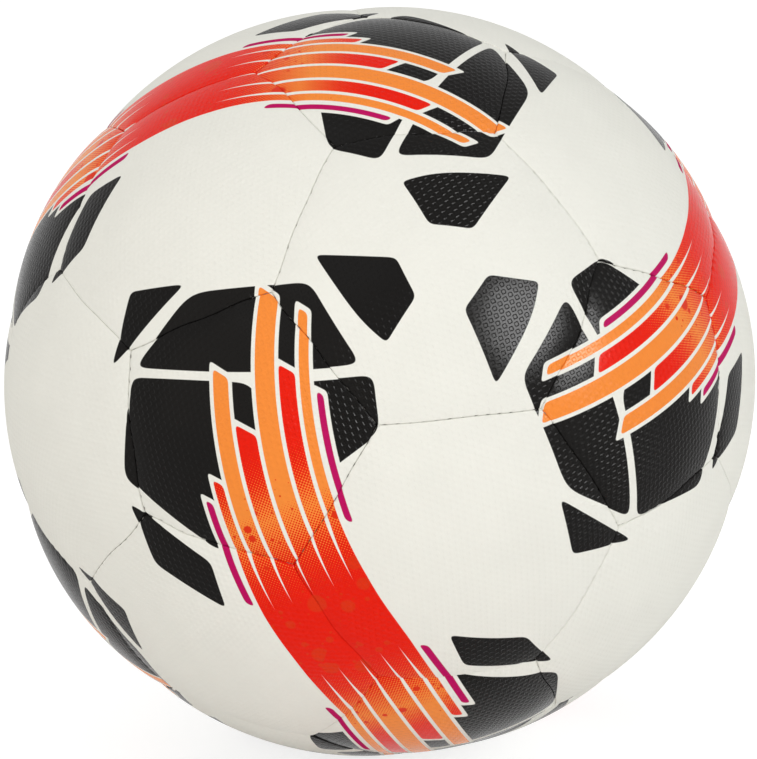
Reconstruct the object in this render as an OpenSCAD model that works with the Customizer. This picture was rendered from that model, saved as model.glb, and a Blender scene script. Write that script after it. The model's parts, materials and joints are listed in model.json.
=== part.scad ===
// Size 5 football: 32 stitched cover panels, each a skin with turned-in edges over a foam
// and a textile lining, round a rubber bladder with a needle valve.
// The origin is the ball's centre. Panels follow a truncated icosahedron.

/* [Ball] */
// Diameter over the crowns of the panels
ball_d = 220; // [180:1:240]
// Turn of the whole ball about X, made first
turn_x = -6.8; // [-180:0.1:180]
// Turn of the whole ball about Y, made second
turn_y = -3.3; // [-180:0.1:180]
// Turn of the whole ball about Z, made last
turn_z = 11.8; // [-180:0.1:180]

/* [Cover layers] */
// Thickness of the outer skin
skin_t = 1.2; // [0.8:0.1:1.6]
// Thickness of the foam under the skin
foam_t = 2; // [1:0.1:4]
// Thickness of the textile lining under the foam
lining_t = 1.2; // [0.8:0.1:2]
// Glue line between one layer and the next
glue_t = 0.05; // [0.03:0.01:0.1]

/* [Seams] */
// Depth of the seams' middles below the panels' crowns
seam_dip = 0.9; // [0.4:0.1:1.1]
// Thickness of the sewing thread
thread_d = 0.5; // [0.3:0.05:0.8]
// Room between the thread and the turned-in edge on each side of it
thread_room = 0.05; // [0.03:0.01:0.1]
// Depth of the thread below the seams' middles
thread_depth = 1.9; // [1.5:0.1:2.2]

/* [Bladder] */
// Thickness of the rubber bladder
bladder_t = 1; // [0.6:0.1:2]
// Room between the cover and the inflated bladder
bladder_room = 0.1; // [0.05:0.05:0.3]

/* [Valve] */
// Index of the hexagon that carries the valve
valve_panel = 15; // [0:1:19]
// Radius of the valve housing's neck, which shows in the panel's hole
neck_r = 4; // [3.6:0.1:5]
// Depth of the neck's rim below the ball's surface
neck_sink = 0.5; // [0.2:0.1:1]
// Radius of the housing's flange, bonded inside the bladder
flange_r = 13; // [10:0.5:18]
// Thickness of that flange at its middle
flange_t = 2.2; // [1.8:0.1:3]
// Radius of the stem that reaches into the bladder
stem_r = 5.5; // [5:0.1:7]
// Length of the stem below the flange
stem_l = 14; // [10:0.5:20]
// Radius of the reinforcing patch behind the valve panel
patch_r = 20; // [15:0.5:24]
// Thickness of that patch
patch_t = 0.6; // [0.4:0.1:0.7]
// Radius of the removable valve core
core_r = 2.3; // [2:0.1:2.6]
// Radius of the core's head
core_head_r = 3.1; // [2.9:0.1:3.3]
// Height of the core's head
core_head_h = 1.6; // [1.2:0.1:2.4]
// Radius of the core's foot, which locks it in the stem
core_foot_r = 3; // [2.8:0.1:3.4]
// Length of the core's foot
core_foot_l = 3; // [2:0.5:5]
// Radius of the pump needle's passage
needle_r = 1; // [0.8:0.05:1.2]
// Length of the straight needle passage
needle_l = 16; // [12:0.5:18]
// Radius of the needle passage's flared mouth
mouth_r = 1.6; // [1.4:0.05:1.8]
// Depth of that flared mouth
mouth_h = 0.8; // [0.5:0.1:1]
// Width of the slit that seals the core's foot
slit_w = 0.2; // [0.1:0.05:0.3]
// Length of that slit
slit_l = 2; // [1.5:0.1:2.4]
// Clearance of the valve's pieces in their holes
valve_fit = 0.05; // [0.03:0.01:0.1]

/* [Hidden] */
$fn = 128;

// Radii of the layers, from outside to inside
ball_r = ball_d / 2;
lining_r = ball_r - skin_t - glue_t - foam_t - glue_t;
cover_r = lining_r - lining_t;
bladder_r = cover_r - bladder_room;
bladder_in_r = bladder_r - bladder_t;
patch_top_r = cover_r + patch_t;

// Half seam, and the inset of the layers that lie between a skin's turned-in edges
seam_half = thread_d / 2 + thread_room;
tray_inset = seam_half + skin_t + glue_t;

// A length that reaches past the whole ball
far = ball_d;
// A short overrun for cuts that pass through a face
over = 1;

// Twelve pentagon centres: the corners of an icosahedron, where those at either end of an edge
// are less than a right angle apart and all others are more
golden = (1 + sqrt(5)) / 2;
ICO = [for (s = [-1, 1], t = [-golden, golden]) each [[0, s, t], [s, t, 0], [t, 0, s]]];
PENTAGONS = [0:len(ICO) - 1];
function joined(a, b) = a < b && ICO[a] * ICO[b] > 0;

// Twenty hexagons: the icosahedron's faces, as triples of pentagons
FACES = [
    for (a = PENTAGONS, b = PENTAGONS, c = PENTAGONS)
        if (joined(a, b) && joined(b, c) && joined(a, c)) [a, b, c]
];
HEXAGONS = [0:len(FACES) - 1];
// Thirty seams between two hexagons, as pairs of pentagons
PAIRS = [for (a = PENTAGONS, b = PENTAGONS) if (joined(a, b)) [a, b]];

function unit(v) = v / norm(v);
// The seam corner a third of the way from pentagon a to pentagon b
function corner(a, b) = unit(2 * ICO[a] + ICO[b]);
// Normal of the plane through the centre and two directions, pointing to the middle of a panel
function inward(p, q, middle) = cross(p, q) * middle > 0 ? unit(cross(p, q)) : unit(cross(q, p));
function holds(face, a) = len([for (b = face) if (b == a) b]) > 0;
function others(face, a) = [for (b = face) if (b != a) b];
function face_middle(face) = unit(ICO[face[0]] + ICO[face[1]] + ICO[face[2]]);

// The seam planes round pentagon a, and round one hexagon
function pentagon_seams(a) = [
    for (f = FACES) if (holds(f, a))
        let (o = others(f, a)) inward(corner(a, o[0]), corner(a, o[1]), ICO[a])
];
function hexagon_seams(f) = [
    for (a = f)
        let (o = others(f, a), m = face_middle(f))
            each [
                inward(corner(a, o[0]), corner(a, o[1]), m),
                inward(ICO[o[0]], ICO[o[1]], m)
            ]
];

// The hexagon that carries the valve, counted on from the first one after the last
valve_face = round(valve_panel) % len(FACES);
valve_dir = face_middle(FACES[valve_face]);

function two_digits(n) = n < 10 ? str("0", n) : str(n);
function pentagon_name(a) = str("pentagon_panel_", two_digits(a + 1));
function hexagon_name(f) = str("hexagon_panel_", two_digits(f + 1));

// Puts the ball's own frame into the part's frame
module ball_frame() {
    rotate([turn_x, turn_y, turn_z]) children();
}

// Turns +Z to a direction
module aim(dir) {
    rotate([0, acos(unit(dir).z), atan2(dir.y, dir.x)]) children();
}

// Turns +X to a direction and +Z to another at right angles to it
module aim_both(x, z) {
    y = cross(z, x);
    multmatrix([[x.x, y.x, z.x, 0], [x.y, y.y, z.y, 0], [x.z, y.z, z.z, 0], [0, 0, 0, 1]]) children();
}

module cylinder_between(r, low, high) {
    translate([0, 0, low]) cylinder(r = r, h = high - low);
}

// Cuts away what lies outside a panel's seam planes, each moved in by inset
module outside_seams(seams, inset) {
    for (n = seams) aim(n) translate([-far, -far, inset - 2 * far]) cube(2 * far);
}

// Radius of the dome whose crown is on the ball and whose sides are seam_dip lower at the seams
function dome_r(seams, middle) = ball_r - seam_dip / (1 - cos(asin(seams[0] * middle)));

// The dome of one panel, lowered all over by depth
module dome(seams, middle, depth) {
    r = dome_r(seams, middle);
    translate((ball_r - r) * middle) sphere(r - depth);
}

// A skin: its domed outer face, and the edges turned in for sewing, which make it a tray
module skin(seams, middle) {
    difference() {
        dome(seams, middle, 0);
        sphere(cover_r);
        outside_seams(seams, seam_half);
        difference() {
            dome(seams, middle, skin_t);
            outside_seams(seams, seam_half + skin_t);
        }
    }
}

// The foam in that tray, domed as the skin is
module foam(seams, middle) {
    difference() {
        dome(seams, middle, skin_t + glue_t);
        sphere(lining_r + glue_t);
        outside_seams(seams, tray_inset);
    }
}

// The lining that closes the tray
module lining(seams) {
    difference() {
        sphere(lining_r);
        sphere(cover_r);
        outside_seams(seams, tray_inset);
    }
}

// The hole that the valve's neck passes through
module valve_hole() {
    aim(valve_dir) cylinder_between(neck_r + valve_fit, bladder_in_r - over, ball_r + over);
}

module pentagon_panel(a) {
    color("floralwhite") ball_frame() skin(pentagon_seams(a), unit(ICO[a]));
}

module hexagon_panel(f) {
    color("ivory") ball_frame() difference() {
        skin(hexagon_seams(FACES[f]), face_middle(FACES[f]));
        if (f == valve_face) valve_hole();
    }
}

module pentagon_foams() {
    color("khaki") ball_frame() for (a = PENTAGONS) foam(pentagon_seams(a), unit(ICO[a]));
}

module hexagon_foams() {
    color("khaki") ball_frame() for (f = HEXAGONS) difference() {
        foam(hexagon_seams(FACES[f]), face_middle(FACES[f]));
        if (f == valve_face) valve_hole();
    }
}

module pentagon_linings() {
    color("gainsboro") ball_frame() for (a = PENTAGONS) lining(pentagon_seams(a));
}

// The valve panel's lining is recessed for the patch behind it
module hexagon_linings() {
    color("gainsboro") ball_frame() for (f = HEXAGONS) difference() {
        lining(hexagon_seams(FACES[f]));
        if (f == valve_face) {
            valve_hole();
            intersection() {
                sphere(patch_top_r + glue_t);
                aim(valve_dir) cylinder_between(patch_r + glue_t, 0, ball_r);
            }
        }
    }
}

// A run of thread along the seam from corner p to corner q, stopping short of each corner
module thread_run(p, q) {
    run_a = acos(p * q);
    stop_a = thread_d / ball_r * 180 / PI;
    side = unit(cross(p, q));
    aim_both(p, side) rotate(stop_a) rotate_extrude(angle = run_a - 2 * stop_a)
        translate([ball_r - seam_dip - thread_depth, 0]) circle(d = thread_d);
}

// Ninety runs: sixty round the pentagons and thirty between hexagons
module seam_thread() {
    color("dimgray") ball_frame() {
        for (f = FACES, a = f) thread_run(corner(a, others(f, a)[0]), corner(a, others(f, a)[1]));
        for (p = PAIRS) thread_run(corner(p[0], p[1]), corner(p[1], p[0]));
    }
}

module bladder() {
    color("black") ball_frame() difference() {
        sphere(bladder_r);
        sphere(bladder_in_r);
        valve_hole();
    }
}

// Heights along the valve's axis, from the ball's centre
neck_top = ball_r - neck_sink;
flange_top_r = bladder_in_r - glue_t;
flange_low = flange_top_r - flange_t;
stem_low = flange_low - stem_l;
head_low = neck_top - core_head_h;
core_low = stem_low - core_foot_l;
needle_low = neck_top - mouth_h - needle_l;

module valve_housing() {
    color("dimgray") ball_frame() aim(valve_dir) difference() {
        union() {
            cylinder_between(neck_r, flange_low, neck_top);
            cylinder_between(stem_r, stem_low, flange_low + over);
            intersection() {
                sphere(flange_top_r);
                cylinder_between(flange_r, flange_low, ball_r);
            }
        }
        cylinder_between(core_r + valve_fit, stem_low - over, ball_r);
        cylinder_between(core_head_r + valve_fit, head_low, ball_r);
    }
}

module valve_core() {
    color("gray") ball_frame() aim(valve_dir) difference() {
        union() {
            cylinder_between(core_head_r, head_low, neck_top);
            cylinder_between(core_r, core_low, head_low + over);
            cylinder_between(core_foot_r, core_low, stem_low - valve_fit);
        }
        cylinder_between(needle_r, needle_low, ball_r);
        translate([0, 0, neck_top - mouth_h]) cylinder(r1 = needle_r, r2 = mouth_r, h = mouth_h);
        translate([-slit_w / 2, -slit_l / 2, core_low - over])
            cube([slit_w, slit_l, needle_low - core_low + 2 * over]);
    }
}

module valve_patch() {
    color("white") ball_frame() difference() {
        intersection() {
            sphere(patch_top_r);
            aim(valve_dir) cylinder_between(patch_r, 0, ball_r);
        }
        sphere(cover_r);
        valve_hole();
    }
}

for (a = PENTAGONS) pentagon_panel(a);
for (f = HEXAGONS) hexagon_panel(f);
pentagon_foams();
hexagon_foams();
pentagon_linings();
hexagon_linings();
seam_thread();
bladder();
valve_housing();
valve_core();
valve_patch();
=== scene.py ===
"""Looks of a stitched size 5 football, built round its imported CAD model.

Lengths are in millimetres until a mesh is made, and directions are unit vectors from the ball's
centre. The 32 panels, the stitching and the print all follow from the middles of the panels,
which are read from the frame.
"""

import json
import math

import bpy
import numpy as np
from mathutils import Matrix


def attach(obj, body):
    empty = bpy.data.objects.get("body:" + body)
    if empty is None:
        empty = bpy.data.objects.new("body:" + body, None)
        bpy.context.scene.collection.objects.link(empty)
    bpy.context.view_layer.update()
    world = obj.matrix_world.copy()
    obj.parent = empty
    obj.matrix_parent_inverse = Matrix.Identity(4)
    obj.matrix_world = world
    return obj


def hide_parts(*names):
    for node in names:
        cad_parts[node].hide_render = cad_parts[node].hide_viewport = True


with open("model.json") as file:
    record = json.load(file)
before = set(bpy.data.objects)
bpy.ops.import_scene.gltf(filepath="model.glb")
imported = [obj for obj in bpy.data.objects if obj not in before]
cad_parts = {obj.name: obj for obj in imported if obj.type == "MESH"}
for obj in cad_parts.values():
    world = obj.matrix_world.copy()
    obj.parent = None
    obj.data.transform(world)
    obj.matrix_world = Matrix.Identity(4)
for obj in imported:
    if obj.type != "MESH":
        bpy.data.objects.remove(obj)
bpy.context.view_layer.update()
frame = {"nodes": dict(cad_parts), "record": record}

MM = 0.001
SEED = 7

# ---- the ball's own sizes ----
MOUNTS = {m["name"]: m for m in frame["record"]["mounts"]}
BALL_R = -MOUNTS["ground_contact"]["pos_m"][2] / MM
VALVE_DIR = np.array(MOUNTS["needle_bore"]["axis"])
VALVE_HOLE_R = 4.05
GOLDEN = (1 + math.sqrt(5)) / 2
SAME_WAY = 0.99        # directions count as one where their cosine is above this
SQUARE = 0.01          # and as at right angles where it is below this
ASKEW = (0.31, 0.17, 0.93)     # a direction that no panel's middle lies in

# ---- the shape of a panel ----
CROWN_INSET = 0.12     # the cover's crowns lie this far inside the CAD's
SEAM_DIP = 0.95        # fall of a panel's dome from its crown to its seams
BORDER_SINK = 0.50     # how far the border falls more, close to the seam
BORDER_W = 3.0         # over about this width
HALF_GAP = 0.02        # half of the crevice between two panels
EDGE_R = 0.28          # rounding of a panel's folded edge
CORNER_SOFT = 0.45     # rounding of the corners where three panels meet
FLANGE_DEPTHS = (0.4, 1.2, 2.4)        # depths of the rings on the turned-in edge
HOLE_EDGE_R = EDGE_R / 2               # rounding of the valve hole's rim
HOLE_TURNS = (30, 60, 90)              # places of the rings on that rounding, in degrees
HOLE_WALL_DEPTH = 1                    # depth of a ring half way down the hole's wall
WAVE = 0.10            # slow unevenness of the stuffed cover
WAVE_COUNT = 6
WAVE_SPEEDS = (9, 22)  # slowest and fastest wave, in radians over one ball radius
WAVE_FADE = 4          # it fades out over this distance from the seams
WARP = 0.32            # how far cutting and sewing move the seams from their true places
WARP_COUNT = 9
WARP_SPEEDS = (12, 44)
WAVE_STARTS = 6.3      # a wave starts anywhere in this many radians
VALVE_TRUE = 14        # the seams and panels stay true within about this distance of the valve

# ---- the stitching ----
STITCH_PITCH = 3.5
STITCH_W = 0.50        # half the length of a stitch's mark
STITCH_OPEN = 0.10     # how far a stitch draws each edge back
STITCH_PULL = 0.18     # how far it pulls the edge down
STITCH_UNEVEN = 0.5    # how much single stitches differ
SEAM_FORCE = 0.58      # how hard a seam's stitches pull, as a rule
SEAM_UNEVEN = 0.42     # and how much whole seams differ
PUCKER = 0.045         # the broad, faint wrinkle behind each stitch
PUCKER_W = 2.6
CHANCE_MIX = (911, 1543, 2087)         # makes a place into a number that looks random
THREAD_R = 0.20
THREAD_SINK = 1.25     # depth of the thread's middle below the folded edge
THREAD_RISE = 0.14     # how far it rises and falls at each stitch
THREAD_STOP = 0.5      # it stops this far short of the corners
THREAD_AROUND = 7      # mesh steps round the thread
THREAD_STEPS = 8       # and along each stitch
PLY_PITCH = 0.8        # of the thread's twist

# ---- mesh density ----
SIDE_STEPS = 28        # along one side of a panel; its border has two and four times as many
RING_STEP = 1.7        # between rings inside the border
FINE_RINGS = (0, 0.02, 0.07, 0.14, 0.23, 0.36, 0.55, 0.8, 1.15, 1.6)       # from the seam inwards
MIDDLE_RINGS = (2.2, 3.1, 4.3)

# ---- the print, on one of its twelve like cells, in millimetres: u runs from the middle of a
# ---- ribbon to the middle of a pentagon and on, and v runs across it
RIBBON_TOWARDS = (0.103, 0.903, 0.418)         # about where the middle of one ribbon lies
RIBBON_SWEEP = 0.0021  # how soon the strips bend aside, as v gained per square millimetre of u
STRIPS = (             # width, reach and whether the tip is red, in order across the ribbon
    (2.7, 51, True),
    (4.5, 77, False),
    (5.5, 61, True),
    (5.5, 93, False),
    (4.5, 72, True),
    (2.7, 85, False),
)
STRIP_GAP = 1.1
STRIP_CUT = 0.85       # slope of the slanting cut that ends a strip
STRIP_ROUND = 1.6
GAP_CLOSED = (30, 12)  # the gaps between strips close from the first u to the second
BAND_RED = (40, 6)     # there the dots grow from orange to red
TIP_RED = (34, 60)     # there they grow to red again on the strips with red tips
DROPS_GROW = (50, 38)  # and there the drops of ink reach their full size
TIP_SOFT = 0.3         # half the width over which a red tip's edge fades
SLIVERS = (            # offset, width, where it starts and its reach
    (-18.2, 2.0, 16, 47),
    (17.9, 1.8, 28, 63),
)
KEYLINE = 1.1
BIG_SHARDS = (
    ((33, -18), (61, -37), (86, -24), (72, 10), (43, 16)),
    ((88, -22), (100, 1), (92, 33), (66, 39), (74, 10)),
    ((43, 20), (70, 14), (62, 41), (47, 37)),
)
SMALL_SHARDS = (
    ((91, -29), (108, -17), (103, 0)),
    ((99, 36), (92, 56), (79, 58), (69, 47), (76, 43)),
    ((17, -25), (35, -40), (54, -39), (31, -22)),
)
BIG_ROUND = 5
SMALL_ROUND = 2.5
DOT_PITCH = 0.70
DOT_GROWTH = 0.78      # radius of a dot that has closed up, as a share of the screen's cell
DOT_SOFT = 0.07        # half the width of its edge, in the same measure
DROPS = ((8, 3.6), (3.4, 1.3), (1.9, 0.6))      # size of the cells and of the largest drop in them
DROP_UNEVEN = 0.10     # how far from round a drop is, as a share of its cell
DROP_WAVES = 2         # bends of its outline in one cell
DROP_SOFT = 0.03       # half the width of its edge, as a share of its cell
DROP_NONE = 0.45       # the share of the cells with next to no drop
MISPRINT = 0.35        # each panel is printed by itself, so the print misses by about this much
INK_EDGE = 0.06        # half the width over which the edge of an ink fades

# ---- the skin's embossed grain: dimples in staggered rows ----
GRAIN_PITCH = 1.95
DIMPLE_R = 0.59
DIMPLE_RIM = 0.145     # half the width of its sloping rim
DIMPLE_MM = 0.10       # its depth
DIMPLE_LOZENGE = 0.75  # its shape, from 0, round, to 1, a lozenge
LOZENGE_SIZE = 0.8     # measure of the lozenge against the round one
BARE_GRAIN = 0.6       # the grain's strength on the bare coat, against 1 on ink
PORES = (900, 0.02, 0.5)       # finer unevenness: waves in a metre, depth in mm and strength

# ---- colours, as linear light ----
WHITE = (0.787, 0.790, 0.739)
BLACK = (0.0083, 0.0077, 0.0073)
ORANGE = (0.86, 0.255, 0.042)
RED = (0.76, 0.012, 0.003)
DROP_RED = (0.70, 0.030, 0.005)
MAGENTA = (0.46, 0.004, 0.105)
OFF_WHITE = 0.97       # the darkest patches of the white, as a share of it
THREAD_GREY = (0.28, 0.27, 0.25)
THREAD_PLY_SHADE = 0.4      # painted shade in the hollows between its plies
WOVEN_YARN_SHADE = 0.7       # and painted shade between the yarns of a textile, as shares of the colour

# ---- gloss and noise ----
COAT_ROUGH = (0.78, 0.84)
INK_GLOSS = 0.60       # ink is smoother than the bare coat by this much
SHEEN = 0.055          # specular level of the whole cover
THREAD_ROUGH = (0.55, 0.75)
WOVEN_ROUGH = 0.9
ROUGH_SPREAD = 0.05    # how far the roughness of the inner pieces wanders
NOISE_SPAN = (0.3, 0.7)        # Blender's noise seldom leaves this span
COAT_PATCHES = 55      # waves in a metre: of the white's patches,
COAT_WEAR = 160        # of the coat's roughness
WAX_WEAR = 700         # and of the thread's

# ---- the studio ----
CAMERA_ELEVATION = math.radians(12)
CAMERA_DISTANCE = 7.0          # in ball radii
BALL_SHARE = 0.4991            # the ball's outline radius, as a share of the picture's width
FRAME_SHIFT = 0.0028           # of the picture, as a share of its width
SENSOR = 36.0                  # the width of the camera's sensor
FLOOR_HALF = 6.0               # metres
FLOOR_PALE = ((0.90, 0.90, 0.90), (0.88, 0.88, 0.88))
FLOOR_CLOUDS = 3               # waves of its tone in a metre
FLOOR_ROUGH = 0.8
WORLD_LEVEL = 0.66
WORLD_TINT = (1, 0.992, 0.975)
LAMPS = {                      # direction, distance and size in metres, power in watts, colour
    "key": ((0.60, -0.69, 0.40), 1.3, 0.8, 3.9, (1, 0.985, 0.96)),
    "front": ((-0.32, -0.50, 0.80), 1.3, 1.2, 2.8, (0.97, 0.985, 1)),
    "fill": ((-0.62, -0.78, 0.10), 1.2, 1.4, 3.3, (1, 0.88, 0.75)),
}
# Seen in the gloss alone. It stands nearer than the key, which would otherwise hide its reflection.
SHEEN_LAMP = ((0.69, -0.62, 0.37), 1.2, 0.56, 35.0, (1, 1, 1))
FLOOR_GLOW = 0.76              # the floor's own white, as the camera sees it
FLOOR_FADE = 0.6               # and how much less of the light and shadow on it the camera sees


def unit(v):
    v = np.asarray(v, float)
    return v / np.linalg.norm(v, axis=-1, keepdims=True)


def slerp(a, b, t):
    """From a to b along their great circle."""
    angle = np.arccos(np.clip(np.sum(a * b, axis=-1, keepdims=True), -1, 1))
    return (np.sin((1 - t) * angle) * a + np.sin(t * angle) * b) / np.sin(angle)


# ---- panel layout, from the frame ----
def node_middle(node):
    """Direction of a CAD panel's middle: its faces' mean place, weighted by area."""
    faces = frame["nodes"][node].data.polygons
    area = np.zeros(len(faces))
    centre = np.zeros(len(faces) * 3)
    faces.foreach_get("area", area)
    faces.foreach_get("center", centre)
    return unit(area @ centre.reshape(-1, 3))


PENTAGONS = sorted(n for n in frame["nodes"] if n.startswith("pentagon_panel"))
HEXAGONS = sorted(n for n in frame["nodes"] if n.startswith("hexagon_panel"))
POLES = np.array([node_middle(n) for n in PENTAGONS])


def joined(a, b):
    """Whether two pentagons are neighbours: less than a right angle apart."""
    return a != b and POLES[a] @ POLES[b] > 0


PAIRS = [(a, b) for a in range(12) for b in range(a) if joined(a, b)]
TRIPLES = [(a, b, c) for a, b in PAIRS for c in range(b) if joined(a, c) and joined(b, c)]


def corner(a, b):
    """The seam corner a third of the way from pentagon a to pentagon b."""
    return unit(2 * POLES[a] + POLES[b])


def tangents(middle):
    """Two directions along the surface at middle."""
    x = unit(np.cross(ASKEW, middle))
    return x, np.cross(middle, x)


def in_order(middle, corners):
    """The corners, anticlockwise round the middle as seen from outside."""
    x, y = tangents(middle)
    turn = [math.atan2(c @ y, c @ x) for c in corners]
    return np.array([corners[k] for k in np.argsort(turn)])


def layout():
    """{node: (middle, corners)} of all panels."""
    panels = {}
    for a, node in enumerate(PENTAGONS):
        corners = [corner(a, b) for b in range(12) if joined(a, b)]
        panels[node] = (POLES[a], in_order(POLES[a], corners))
    for node in HEXAGONS:
        near = node_middle(node)
        triple = max(TRIPLES, key=lambda t: near @ unit(POLES[list(t)].sum(0)))
        middle = unit(POLES[list(triple)].sum(0))
        corners = [corner(a, b) for a in triple for b in triple if a != b]
        panels[node] = (middle, in_order(middle, corners))
    return panels


# ---- the shape of a panel ----
def seam_normals(middle, corners):
    """Normals of the planes through the ball's centre and each side, pointing inwards."""
    n = unit(np.cross(corners, np.roll(corners, -1, axis=0)))
    return n * np.sign(n @ middle)[:, None]


def inset_corners(normals):
    """Corners of the panel moved in from its seam planes by half the gap."""
    low = HALF_GAP / BALL_R
    found = []
    for k, n in enumerate(normals):
        before = normals[k - 1]
        base = (before + n) * low / (1 + before @ n)
        along = np.cross(before, n)
        found.append(base + along * math.sqrt((1 - base @ base) / (along @ along)))
    return np.array(found)


def chance(place):
    """A number from -1 to 1 that both panels at a seam find alike for one place."""
    return np.sin(np.asarray(place) @ CHANCE_MIX)


def stitches(points, start, end):
    """How far each point is from the nearest stitch along a side, and how hard that one pulls."""
    length = BALL_R * math.acos(start @ end)
    count = round(length / STITCH_PITCH)
    across = np.cross(unit(np.cross(start, end)), start)
    place = BALL_R * np.arctan2(points @ across, points @ start) / length * count
    number = np.floor(place)
    away = np.abs(place - number - 0.5) * length / count
    spot = slerp(start, end, ((number + 0.5) / count)[..., None])
    force = (1 + STITCH_UNEVEN * chance(spot)) * (SEAM_FORCE + SEAM_UNEVEN * chance(start + end))
    return away, np.where((place > 0) & (place < count), force, 0)


def notch(away, force):
    """How far a stitch draws the panel's edge back from the seam."""
    return STITCH_OPEN * force * np.exp(-(away / STITCH_W) ** 2)


def boundary(corners, normals, steps):
    """Points round the panel's edge, steps to a side."""
    inner = inset_corners(normals)
    t = (np.arange(steps) / steps)[:, None]
    points = []
    for k, n in enumerate(normals):
        after = (k + 1) % len(corners)
        line = slerp(inner[k], inner[after], t)
        low = (HALF_GAP + notch(*stitches(line, corners[k], corners[after])))[:, None] / BALL_R
        flat = unit(line - (line @ n)[:, None] * n)
        points.append(flat * np.sqrt(1 - low ** 2) + low * n)
    return np.concatenate(points)


def waves(points, rng, count, speeds):
    """A smooth random field: the mean of sine waves in random directions."""
    total = np.zeros(points.shape[:-1])
    for _ in range(count):
        direction = unit(rng.normal(size=3)) * rng.uniform(*speeds)
        total += np.sin(points @ direction + rng.uniform(0, WAVE_STARTS))
    return total / count


def warped(points):
    """The directions moved a little, so that seams aren't quite straight; neighbours share it."""
    rng = np.random.default_rng(SEED)
    shift = np.stack([waves(points, rng, WARP_COUNT, WARP_SPEEDS) for _ in range(3)], -1)
    from_valve = BALL_R * np.arccos(np.clip(points @ VALVE_DIR, -1, 1))
    fade = 1 - np.exp(-(from_valve / VALVE_TRUE) ** 2)
    return unit(points + shift * (fade * WARP * WARP_COUNT / 2 / BALL_R)[..., None])


def dome(points, middle, reach):
    """Height of the panel's dome: a smaller sphere that touches the ball at the panel's middle."""
    r = BALL_R - SEAM_DIP / (1 - math.cos(reach))
    lift = BALL_R - r
    lean = points @ middle
    return lift * lean + np.sqrt(r * r - lift * lift * (1 - lean * lean)) - CROWN_INSET


def sewn(points, corners, normals):
    """Distances from the sides of a panel, and how far its stitches pull the surface down."""
    sides = BALL_R * np.arcsin(np.clip(points @ normals.T, -1, 1)) - HALF_GAP
    pull = np.zeros(points.shape[:-1])
    for k in range(len(corners)):
        away, force = stitches(points, corners[k], corners[(k + 1) % len(corners)])
        sides[..., k] -= notch(away, force)
        depth = np.maximum(sides[..., k], 0)
        pull += STITCH_PULL * force * np.exp(-(away / STITCH_W) ** 2 - depth / STITCH_W)
        wrinkle = np.cos(math.pi * away / STITCH_PITCH) ** 2
        pull += PUCKER * force * wrinkle * np.exp(-depth / PUCKER_W)
    return sides, pull


def surface_r(points, middle, corners, normals):
    """Distance of a panel's outer face from the ball's centre, in the direction of each point."""
    sides, pull = sewn(points, corners, normals)
    s = -CORNER_SOFT * np.log(np.exp(-sides / CORNER_SOFT).sum(-1))
    inside = np.maximum(s, 0)
    border = BORDER_SINK * np.exp(-inside / BORDER_W)
    on_arc = np.clip(EDGE_R - s, 0, EDGE_R)
    fold = EDGE_R - np.sqrt(EDGE_R ** 2 - on_arc ** 2) + np.maximum(-s, 0)
    slack = 1 - waves(points, np.random.default_rng(SEED), WAVE_COUNT, WAVE_SPEEDS)
    uneven = WAVE * slack * (1 - np.exp(-inside / WAVE_FADE))
    reach = math.asin(normals[0] @ middle)
    return dome(points, middle, reach) - border - fold - uneven - pull


def ring_points(middle, corners, normals, hole_r):
    """The rings of a panel's face from the seam inwards, in three densities, as directions.

    They end at the valve's hole, or else one step short of the middle."""
    reach = BALL_R * math.asin(normals[0] @ middle)
    edge = boundary(corners, normals, 4 * SIDE_STEPS)
    fine = [slerp(middle, edge, 1 - s / reach) for s in FINE_RINGS]
    half = [slerp(middle, edge[::2], 1 - s / reach) for s in MIDDLE_RINGS]
    first = 1 - (MIDDLE_RINGS[-1] + RING_STEP) / reach
    spans = BALL_R * np.arccos(edge[::4] @ middle)[:, None]
    last = hole_r / spans
    count = round(reach * first / RING_STEP)
    steps = count if hole_r else count - 1
    shares = [first + (last - first) * k / count for k in range(steps + 1)]
    coarse = [slerp(middle, edge[::4], share) for share in shares]
    return fine + half + coarse


def band(faces, outer, inner):
    """Faces between two rings; the inner one has as many points, or half as many."""
    n = len(inner)
    for k in range(n):
        m = (k + 1) % n
        if len(outer) == n:
            faces.append((outer[k], outer[m], inner[m], inner[k]))
            continue
        a, b, c = outer[2 * k], outer[2 * k + 1], outer[(2 * k + 2) % len(outer)]
        faces.append((a, b, inner[k]))
        faces.append((b, inner[m], inner[k]))
        faces.append((b, c, inner[m]))


def hole_rim(ring, middle, face_r):
    """Rounded rim and wall of the valve hole, as (directions, radii)."""
    spans = np.arccos(ring @ middle)[:, None] * BALL_R
    rim = []
    for turn in HOLE_TURNS:
        a = math.radians(turn)
        share = 1 - HOLE_EDGE_R * math.sin(a) / spans
        rim.append((slerp(middle, ring, share), face_r - HOLE_EDGE_R * (1 - math.cos(a))))
    wall = rim[-1][0]
    return rim + [(wall, face_r - HOLE_WALL_DEPTH), (wall, face_r - FLANGE_DEPTHS[-1])]


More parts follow.
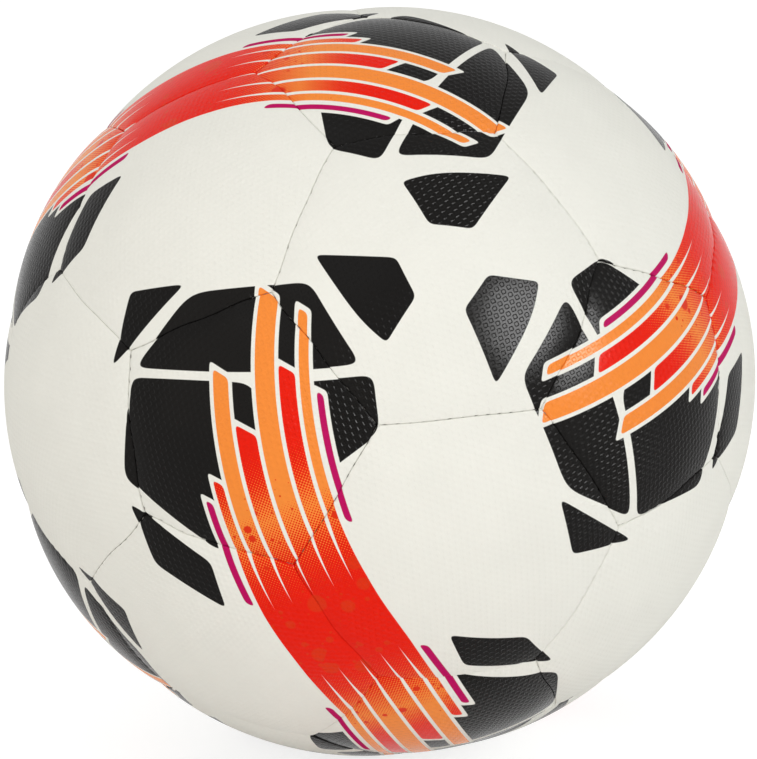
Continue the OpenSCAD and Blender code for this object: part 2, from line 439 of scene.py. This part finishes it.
def panel_geometry(middle, corners, hole_r):
    """Directions, radii and faces of one panel, with its turned-in edge and any valve hole."""
    normals = seam_normals(middle, corners)
    rings = ring_points(middle, corners, normals, hole_r)
    face = [(r, surface_r(r, middle, corners, normals)) for r in rings]
    flange = [(rings[0], face[0][1] - depth) for depth in reversed(FLANGE_DEPTHS)]
    rim = hole_rim(rings[-1], middle, face[-1][1]) if hole_r else []
    sets = flange + face + rim
    starts = np.cumsum([0] + [len(p) for p, _ in sets])
    loops = [np.arange(starts[k], starts[k + 1]) for k in range(len(sets))]
    faces = []
    for k in range(len(sets) - 1):
        band(faces, loops[k], loops[k + 1])
    points = [p for p, _ in sets]
    radii = [r for _, r in sets]
    if not hole_r:
        points.append(middle[None])
        radii.append(surface_r(middle[None], middle, corners, normals))
        last = loops[-1]
        faces += [(last[k], last[(k + 1) % len(last)], starts[-1]) for k in range(len(last))]
    return np.concatenate(points), np.concatenate(radii), faces


# ---- making objects ----
def mesh_object(name, vertices, faces, material):
    mesh = bpy.data.meshes.new(name)
    loops = [tuple(int(i) for i in face) for face in faces]
    mesh.from_pydata((np.asarray(vertices) * MM).tolist(), [], loops)
    mesh.polygons.foreach_set("use_smooth", [True] * len(mesh.polygons))
    mesh.materials.append(material)
    mesh.update()
    obj = bpy.data.objects.new(name, mesh)
    bpy.context.scene.collection.objects.link(obj)
    return obj


def add_attribute(obj, name, values):
    values = np.asarray(values, np.float32)
    kind, key = ("FLOAT_VECTOR", "vector") if values.ndim == 2 else ("FLOAT", "value")
    attribute = obj.data.attributes.new(name, kind, "POINT")
    attribute.data.foreach_set(key, values.ravel())


# ---- materials ----
class Nodes:
    """A node tree, with short calls for the few nodes that this file uses."""

    def __init__(self, owner, shader="Principled BSDF"):
        owner.use_nodes = True
        self.owner = owner
        self.tree = owner.node_tree
        self.shader = self.tree.nodes[shader]

    def new(self, kind, **settings):
        node = self.tree.nodes.new(kind)
        for key, value in settings.items():
            setattr(node, key, value)
        return node

    def put(self, socket, value):
        if isinstance(value, bpy.types.NodeSocket):
            self.tree.links.new(value, socket)
        else:
            socket.default_value = value

    def calc(self, operation, a, b=0.0, c=0.0):
        """One Math node; its values are sockets or plain numbers, as everywhere in this class."""
        node = self.new("ShaderNodeMath", operation=operation)
        for k, v in enumerate((a, b, c)):
            self.put(node.inputs[k], v)
        return node.outputs[0]

    def over_all(self, operation, values, c=0.0):
        """The operation on the first two values, on what that gives and the third, and so on."""
        total, *rest = values
        for value in rest:
            total = self.calc(operation, total, value, c)
        return total

    def attribute(self, name, output="Fac"):
        return self.new("ShaderNodeAttribute", attribute_name=name).outputs[output]

    def split(self, vector):
        node = self.new("ShaderNodeSeparateXYZ")
        self.put(node.inputs[0], vector)
        return node.outputs

    def remap(self, value, low, high, new_low=0.0, new_high=1.0):
        node = self.new("ShaderNodeMapRange")
        for k, v in enumerate((value, low, high, new_low, new_high)):
            self.put(node.inputs[k], v)
        return node.outputs[0]

    def choose(self, share, a, b):
        """From the number a to the number b; the Mix node's numbers are its sockets 2 and 3."""
        node = self.new("ShaderNodeMix")
        for k, v in zip((0, 2, 3), (share, a, b)):
            self.put(node.inputs[k], v)
        return node.outputs[0]

    def mix(self, share, a, b):
        """From the colour a to the colour b, which are its sockets 6 and 7."""
        node = self.new("ShaderNodeMix", data_type="RGBA")
        self.put(node.inputs[0], share)
        for k, colour in ((6, a), (7, b)):
            linked = isinstance(colour, bpy.types.NodeSocket)
            self.put(node.inputs[k], colour if linked else (*colour, 1))
        return node.outputs[2]

    def noise(self, scale, detail=2.0):
        """Blender's noise, with about this many waves in a metre."""
        node = self.new("ShaderNodeTexNoise")
        self.put(node.inputs["Vector"], self.new("ShaderNodeTexCoord").outputs["Object"])
        node.inputs["Scale"].default_value = scale
        node.inputs["Detail"].default_value = detail
        return node.outputs["Fac"]

    def clouds(self, scale, low=0.0, high=1.0, detail=2.0):
        """The noise, spread over the span from low to high."""
        return self.remap(self.noise(scale, detail), *NOISE_SPAN, low, high)

    def bump(self, height, distance_mm, strength=1.0, under=None):
        node = self.new("ShaderNodeBump")
        self.put(node.inputs["Strength"], strength)
        node.inputs["Distance"].default_value = distance_mm * MM
        self.put(node.inputs["Height"], height)
        if under is not None:
            self.put(node.inputs["Normal"], under)
        return node.outputs[0]


def fold_to_cell(n, place):
    """Folds the print's own x, y, z onto one of its twelve like cells, and gives u and v there.

    The pentagons lie at (0, 1, golden) and like places, so the cell is the one whose pentagon is
    nearest, and a cell on the ball's other half is turned round rather than mirrored."""
    x, y, z = n.split(place)
    ax, ay, az = (n.calc("ABSOLUTE", c) for c in (x, y, z))
    turn = n.calc("SIGN", n.calc("MULTIPLY", n.calc("MULTIPLY", x, y), z))
    to_x = n.calc("MULTIPLY_ADD", ax, GOLDEN, az)
    to_y = n.calc("MULTIPLY_ADD", ay, GOLDEN, ax)
    to_z = n.calc("MULTIPLY_ADD", az, GOLDEN, ay)
    is_x = n.calc("GREATER_THAN", to_x, n.calc("MAXIMUM", to_y, to_z))
    is_y = n.calc("GREATER_THAN", to_y, n.calc("MAXIMUM", to_x, to_z))
    across = n.choose(is_y, n.choose(is_x, ax, ay), az)
    along = n.choose(is_y, n.choose(is_x, ay, az), ax)
    out = n.choose(is_y, n.choose(is_x, az, ax), ay)
    u = n.calc("MULTIPLY", n.calc("ARCTAN2", along, out), BALL_R)
    v = n.calc("MULTIPLY", n.calc("ARCSINE", n.calc("MULTIPLY", turn, across)), BALL_R)
    return u, v


def shard_mm(n, u, v, corners, rounding):
    """Distance to a convex shape with rounded corners, below 0 inside it."""
    sides = []
    for (au, av), (bu, bv) in zip(corners, corners[1:] + corners[:1]):
        length = math.hypot(bu - au, bv - av)
        nu, nv = (bv - av) / length, (au - bu) / length
        side = n.calc("MULTIPLY_ADD", v, nv, -(au * nu + av * nv))
        sides.append(n.calc("MULTIPLY_ADD", u, nu, side))
    return n.over_all("SMOOTH_MAX", sides, rounding)


def strip_mm(n, u, v, offset, width, reach, start=None):
    """Distance to a strip of the ribbon, which sweeps aside and ends in a slanting cut."""
    sweep = n.calc("MULTIPLY_ADD", n.calc("MULTIPLY", u, u), RIBBON_SWEEP, offset)
    aside = n.calc("SUBTRACT", v, sweep)
    side = n.calc("SUBTRACT", n.calc("ABSOLUTE", aside), width / 2)
    slant = math.hypot(1, STRIP_CUT)
    along = n.calc("MULTIPLY_ADD", aside, STRIP_CUT / slant, n.calc("DIVIDE", u, slant))
    side = n.calc("SMOOTH_MAX", side, n.calc("SUBTRACT", along, reach / slant), STRIP_ROUND)
    if start is not None:
        side = n.calc("SMOOTH_MAX", side, n.calc("SUBTRACT", start / slant, along), STRIP_ROUND)
    return side


def inked(n, distance, grow=0.0):
    """1 where a layer prints, grown outwards."""
    return n.remap(distance, grow + INK_EDGE, grow - INK_EDGE)


def halftone(n, u, v, share):
    """1 in the dots of a slanted screen; the dots grow with share until they close up."""
    parts = []
    for sign in (1, -1):
        across = n.calc("MULTIPLY_ADD", v, sign, u)
        cell = n.calc("FRACT", n.calc("DIVIDE", across, DOT_PITCH * math.sqrt(2)))
        off = n.calc("SUBTRACT", cell, 0.5)
        parts.append(n.calc("MULTIPLY", off, off))
    from_dot = n.calc("SQRT", n.calc("ADD", *parts))
    size = n.calc("MULTIPLY", n.calc("SQRT", share), DOT_GROWTH)
    return n.remap(n.calc("SUBTRACT", from_dot, size), DOT_SOFT, -DOT_SOFT)


def splatter(n, place, fade):
    """Drops of ink: uneven balls round random points, cut by the cover at any height."""
    wet = []
    for cell, largest in DROPS:
        cells = n.new("ShaderNodeTexVoronoi")
        n.put(cells.inputs["Vector"], place)
        cells.inputs["Scale"].default_value = BALL_R / cell
        bends = n.noise(DROP_WAVES / (cell * MM))
        away = n.calc("MULTIPLY_ADD", bends, DROP_UNEVEN, cells.outputs["Distance"])
        drawn = n.split(cells.outputs["Color"])[0]
        size = n.remap(drawn, DROP_NONE, 1.0, DROP_UNEVEN / 2, largest / cell)
        outside = n.calc("SUBTRACT", away, n.calc("MULTIPLY", size, fade))
        wet.append(n.remap(outside, DROP_SOFT, -DROP_SOFT))
    return n.over_all("MAXIMUM", wet)


def warm_inks(n, u, v, tips, place):
    """Orange to red, in dots, with red tips on some strips, and drops over the dots."""
    middle = n.remap(u, *BAND_RED)
    share = n.calc("MAXIMUM", middle, n.calc("MULTIPLY", tips, n.remap(u, *TIP_RED)))
    colour = n.mix(halftone(n, u, v, share), ORANGE, RED)
    return n.mix(splatter(n, place, n.remap(u, *DROPS_GROW)), colour, DROP_RED)


def printed_colour(n, white):
    """The cover's colour, and where it is printed in black or in orange and red."""
    place = n.attribute("print_place", "Vector")
    u, v = fold_to_cell(n, place)
    shards = [shard_mm(n, u, v, corners, BIG_ROUND) for corners in BIG_SHARDS]
    shards += [shard_mm(n, u, v, corners, SMALL_ROUND) for corners in SMALL_SHARDS]
    strips = []
    red_tips = []
    closed = n.remap(u, *GAP_CLOSED, 0, STRIP_GAP / 2 + INK_EDGE)
    edge = -(sum(width for width, _, _ in STRIPS) + STRIP_GAP * (len(STRIPS) - 1)) / 2
    for width, reach, red_tip in STRIPS:
        strip = n.calc("SUBTRACT", strip_mm(n, u, v, edge + width / 2, width, reach), closed)
        edge += width + STRIP_GAP
        strips.append(strip)
        if red_tip:
            red_tips.append(n.remap(strip, TIP_SOFT, -TIP_SOFT))
    warm = n.over_all("MINIMUM", strips)
    slivers = [strip_mm(n, u, v, offset, width, reach, start)
               for offset, width, start, reach in SLIVERS]
    sliver = n.over_all("MINIMUM", slivers)
    keyline = inked(n, n.calc("MINIMUM", warm, sliver), KEYLINE)
    black = n.over_all("MINIMUM", shards)
    black_ink = n.calc("MULTIPLY", inked(n, black), n.calc("SUBTRACT", 1.0, keyline))
    colour = n.mix(black_ink, white, BLACK)
    colour = n.mix(inked(n, sliver), colour, MAGENTA)
    warm_ink = inked(n, warm)
    tips = n.over_all("MAXIMUM", red_tips)
    colour = n.mix(warm_ink, colour, warm_inks(n, u, v, tips, place))
    return colour, n.calc("MAXIMUM", black_ink, warm_ink)


def grain_height(n):
    """The embossed grain: 0 inside its dimples, which are rounded lozenges, and 1 between them."""
    u, v, _ = n.split(n.attribute("grain_mm", "Vector"))
    distances = []
    for shift in (0, 0.5):
        squares = []
        sides = []
        for place, pitch in ((u, GRAIN_PITCH), (v, GRAIN_PITCH * math.sqrt(3))):
            cell = n.calc("FRACT", n.calc("MULTIPLY_ADD", place, 1 / pitch, shift))
            off = n.calc("MULTIPLY", n.calc("SUBTRACT", cell, 0.5), pitch)
            squares.append(n.calc("MULTIPLY", off, off))
            sides.append(n.calc("ABSOLUTE", off))
        from_round = n.calc("SQRT", n.calc("ADD", *squares))
        from_lozenge = n.calc("MULTIPLY", n.calc("ADD", *sides), LOZENGE_SIZE)
        distances.append(n.choose(DIMPLE_LOZENGE, from_round, from_lozenge))
    nearest = n.over_all("MINIMUM", distances)
    rim = n.remap(nearest, DIMPLE_R - DIMPLE_RIM, DIMPLE_R + DIMPLE_RIM)
    rim.node.interpolation_type = "SMOOTHSTEP"
    return rim


def times(colour, share):
    """The colour, darkened to a share of itself."""
    return [c * share for c in colour]


def printed_cover():
    """Coated cover: a warm white skin, embossed with a fine grain and printed in layers."""
    n = Nodes(bpy.data.materials.new("printed_cover"))
    white = n.mix(n.clouds(COAT_PATCHES, detail=3), WHITE, times(WHITE, OFF_WHITE))
    colour, ink = printed_colour(n, white)
    n.put(n.shader.inputs["Base Color"], colour)
    rough = n.clouds(COAT_WEAR, *COAT_ROUGH)
    n.put(n.shader.inputs["Roughness"], n.calc("MULTIPLY_ADD", ink, -INK_GLOSS, rough))
    n.shader.inputs["Specular IOR Level"].default_value = SHEEN
    grain = n.bump(grain_height(n), DIMPLE_MM, n.remap(ink, 0, 1, BARE_GRAIN, 1))
    pore_scale, pore_mm, pore_strength = PORES
    n.put(n.shader.inputs["Normal"], n.bump(n.noise(pore_scale), pore_mm, pore_strength, grain))
    return n.owner


def plain(name, colour, rough, grain_scale, grain_mm, dark=0.8):
    """A material with a little variation of colour, roughness and height."""
    n = Nodes(bpy.data.materials.new(name))
    tone = n.clouds(grain_scale * 0.3, detail=3)
    n.put(n.shader.inputs["Base Color"], n.mix(tone, colour, times(colour, dark)))
    wear = n.clouds(grain_scale, rough - ROUGH_SPREAD, rough + ROUGH_SPREAD)
    n.put(n.shader.inputs["Roughness"], wear)
    n.put(n.shader.inputs["Normal"], n.bump(n.noise(grain_scale, 4), grain_mm, strength=0.6))
    return n.owner


def woven(name, colour, pitch):
    """Plain weave along X and Z, for the textile layers inside, with painted shade where the yarns
    dip.
    """
    n = Nodes(bpy.data.materials.new(name))
    x, _, z = n.split(n.new("ShaderNodeTexCoord").outputs["Object"])
    turns = math.pi / (pitch * MM)
    yarns = [n.calc("SINE", n.calc("MULTIPLY", place, turns)) for place in (x, z)]
    weave = n.calc("MULTIPLY", *yarns)
    tone = n.remap(weave, -1, 1)
    # painted shade: the colour is darkened where the weave dips and full on the yarns' crowns
    n.put(n.shader.inputs["Base Color"], n.mix(tone, times(colour, WOVEN_YARN_SHADE), colour))
    n.shader.inputs["Roughness"].default_value = WOVEN_ROUGH
    n.put(n.shader.inputs["Normal"], n.bump(weave, distance_mm=0.15, strength=0.8))
    return n.owner


def twisted_thread():
    """Waxed thread, twisted: fine slanting plies along each run, with painted shade in the hollows
    between them.
    """
    n = Nodes(bpy.data.materials.new("twisted_thread"))
    ply = n.calc("SINE", n.calc("MULTIPLY", n.attribute("ply_mm"), 2 * math.pi / PLY_PITCH))
    tone = n.remap(ply, -1, 1)
    # painted shade: the thread's grey is darkened in the hollows between its plies and full on
    # their crowns
    n.put(n.shader.inputs["Base Color"], n.mix(tone, times(THREAD_GREY, THREAD_PLY_SHADE), THREAD_GREY))
    n.put(n.shader.inputs["Roughness"], n.clouds(WAX_WEAR, *THREAD_ROUGH))
    n.put(n.shader.inputs["Normal"], n.bump(ply, distance_mm=0.08, strength=0.8))
    return n.owner


# ---- the ball's pieces ----
def print_axes():
    """The print's own axes: three ribbon middles at right angles, in the order that puts a
    pentagon at (0, 1, golden)."""
    middles = [unit(POLES[a] + POLES[b]) for a, b in PAIRS]
    z = max(middles, key=lambda m: m @ unit(RIBBON_TOWARDS))
    square = [m for m in middles if abs(m @ z) < SQUARE]
    y = max(square, key=lambda m: max(POLES @ unit(m + GOLDEN * z)))
    return np.array([np.cross(y, z), y, z])


def misprinted(points, rng):
    """The points turned by a tiny error of register, which is the panel's own."""
    turn = rng.normal(size=3) * MISPRINT / BALL_R
    return unit(points + np.cross(turn, points))


def panel(node, middle, corners, axes, rng, material):
    """One cover panel in place of its CAD node, with the places that its print and grain need."""
    hole_r = VALVE_HOLE_R + HOLE_EDGE_R if middle @ VALVE_DIR > SAME_WAY else 0
    points, radii, faces = panel_geometry(middle, corners, hole_r)
    points = warped(points)
    obj = mesh_object(node + "_cover", points * radii[:, None], faces, material)
    add_attribute(obj, "print_place", misprinted(points, rng) @ axes.T)
    x, y = tangents(middle)
    flat = np.stack([points @ x, points @ y], 1)
    far = np.linalg.norm(flat, axis=1, keepdims=True)
    stretch = BALL_R * np.arcsin(np.clip(far, 0, 1)) / np.maximum(far, 1e-9)
    add_attribute(obj, "grain_mm", np.concatenate([flat * stretch, 0 * far], 1))
    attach(obj, "root")
    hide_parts(node)


def seams():
    """Every seam as its two corners: those between hexagons, then those round the pentagons."""
    found = [(corner(a, b), corner(b, a)) for a, b in PAIRS]
    for triple in TRIPLES:
        for a in triple:
            b, c = (p for p in triple if p != a)
            found.append((corner(a, b), corner(a, c)))
    return found


def thread(material):
    """The sewing thread: one run in each crevice, rising at every stitch."""
    turns = np.arange(THREAD_AROUND) * 2 * math.pi / THREAD_AROUND
    vertices, faces, ply = [], [], []
    height = BALL_R - CROWN_INSET - SEAM_DIP - BORDER_SINK - THREAD_SINK
    for start, end in seams():
        length = BALL_R * math.acos(start @ end)
        count = round(length / STITCH_PITCH)
        steps = count * THREAD_STEPS
        stop = THREAD_STOP / length
        t = np.linspace(stop, 1 - stop, steps + 1)[:, None]
        path = warped(slerp(start, end, t))
        side = unit(np.cross(start, end))
        centre = path * (height - THREAD_RISE * np.cos(t * count * 2 * math.pi))
        first = len(vertices)
        for k in range(steps + 1):
            ring = np.cos(turns)[:, None] * path[k] + np.sin(turns)[:, None] * side
            vertices.extend(centre[k] + THREAD_R * ring)
            ply.extend(t[k, 0] * length + turns / 2 / math.pi * PLY_PITCH)
        ring_starts = range(first, len(vertices), THREAD_AROUND)
        loops = [list(range(start_at, start_at + THREAD_AROUND)) for start_at in ring_starts]
        for k in range(steps):
            band(faces, loops[k + 1], loops[k])
        faces.append(loops[0])
        faces.append(loops[-1][::-1])
    obj = mesh_object("seam_stitching", vertices, faces, material)
    add_attribute(obj, "ply_mm", ply)
    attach(obj, "root")
    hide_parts("seam_thread")


def dress_inner_nodes():
    """Gives the pieces inside and the valve their own materials."""
    foam = plain("foam", (0.72, 0.64, 0.40), rough=0.85, grain_scale=420, grain_mm=0.25)
    lining = woven("lining", (0.62, 0.62, 0.60), pitch=0.9)
    rubber = plain("bladder_rubber", (0.022, 0.022, 0.024), rough=0.55, grain_scale=260,
                   grain_mm=0.06, dark=0.7)
    housing = plain("valve_rubber", (0.055, 0.055, 0.058), rough=0.5, grain_scale=500,
                    grain_mm=0.04)
    core = plain("core_rubber", (0.16, 0.16, 0.165), rough=0.45, grain_scale=600, grain_mm=0.03)
    patch = woven("patch_cloth", (0.80, 0.80, 0.77), pitch=0.7)
    wear = {
        "pentagon_foams": foam, "hexagon_foams": foam, "pentagon_linings": lining,
        "hexagon_linings": lining, "bladder": rubber, "valve_housing": housing,
        "valve_core": core, "valve_patch": patch,
    }
    for node, material in wear.items():
        for slot in frame["nodes"][node].material_slots:
            slot.material = material


# ---- the studio ----
def studio_camera():
    """The camera, at the photograph's height over the ball's middle and at its framing."""
    back = np.array([0, -math.cos(CAMERA_ELEVATION), math.sin(CAMERA_ELEVATION)])
    data = bpy.data.cameras.new("camera")
    data.sensor_fit = "HORIZONTAL"
    data.sensor_width = SENSOR
    data.lens = SENSOR * BALL_SHARE * math.sqrt(CAMERA_DISTANCE ** 2 - 1)
    data.shift_y = FRAME_SHIFT
    camera = bpy.data.objects.new("camera", data)
    camera.location = back * CAMERA_DISTANCE * BALL_R * MM
    camera.rotation_euler = (math.pi / 2 - CAMERA_ELEVATION, 0, 0)
    bpy.context.scene.collection.objects.link(camera)
    bpy.context.scene.camera = camera


def soft_light(name, direction, distance, size, power, colour):
    """A round area light in a direction from the ball, turned to face it."""
    data = bpy.data.lights.new(name, "AREA")
    data.shape = "DISK"
    data.size = size
    data.energy = power
    data.color = colour
    lamp = bpy.data.objects.new(name, data)
    towards = unit(direction)
    lamp.location = towards * distance
    turn = math.atan2(towards[1], towards[0]) + math.pi / 2
    lamp.rotation_euler = (math.acos(towards[2]), 0, turn)
    bpy.context.scene.collection.objects.link(lamp)
    return lamp


def seen_directly(n):
    """1 for what the camera sees, itself or through glass or in a reflection."""
    path = n.new("ShaderNodeLightPath").outputs
    reflected = n.calc("MAXIMUM", path["Is Glossy Ray"], path["Is Transmission Ray"])
    return n.calc("MAXIMUM", path["Is Camera Ray"], reflected)


def floor():
    """A pale floor that keeps the ball's shadow and runs into the white background."""
    mesh = bpy.data.meshes.new("floor")
    corners = [(-1, -1), (1, -1), (1, 1), (-1, 1)]
    places = [(x * FLOOR_HALF, y * FLOOR_HALF, -BALL_R * MM) for x, y in corners]
    mesh.from_pydata(places, [], [range(4)])
    n = Nodes(bpy.data.materials.new("floor"))
    direct = seen_directly(n)
    pale = n.mix(n.noise(FLOOR_CLOUDS), *FLOOR_PALE)
    fade = n.calc("MULTIPLY", direct, FLOOR_FADE)
    n.put(n.shader.inputs["Base Color"], n.mix(fade, pale, (0, 0, 0)))
    n.shader.inputs["Roughness"].default_value = FLOOR_ROUGH
    n.shader.inputs["Emission Color"].default_value = (1, 1, 1, 1)
    n.put(n.shader.inputs["Emission Strength"], n.calc("MULTIPLY", direct, FLOOR_GLOW))
    mesh.materials.append(n.owner)
    obj = bpy.data.objects.new("floor", mesh)
    bpy.context.scene.collection.objects.link(obj)


def studio_world():
    """Even light, a little warm, and plain white wherever the camera sees past the floor."""
    world = bpy.data.worlds.new("studio")
    n = Nodes(world, "Background")
    direct = seen_directly(n)
    n.put(n.shader.inputs["Color"], n.mix(direct, WORLD_TINT, (1, 1, 1)))
    n.put(n.shader.inputs["Strength"], n.remap(direct, 0, 1, WORLD_LEVEL, 1))
    bpy.context.scene.world = world


def main():
    studio_camera()
    floor()
    studio_world()
    for name, lamp in LAMPS.items():
        soft_light(name, *lamp)
    soft_light("sheen", *SHEEN_LAMP).visible_diffuse = False
    bpy.context.scene.view_settings.view_transform = "Standard"
    cover = printed_cover()
    axes = print_axes()
    rng = np.random.default_rng(SEED)
    for node, (middle, corners) in layout().items():
        panel(node, middle, corners, axes, rng, cover)
    thread(twisted_thread())
    dress_inner_nodes()


main()
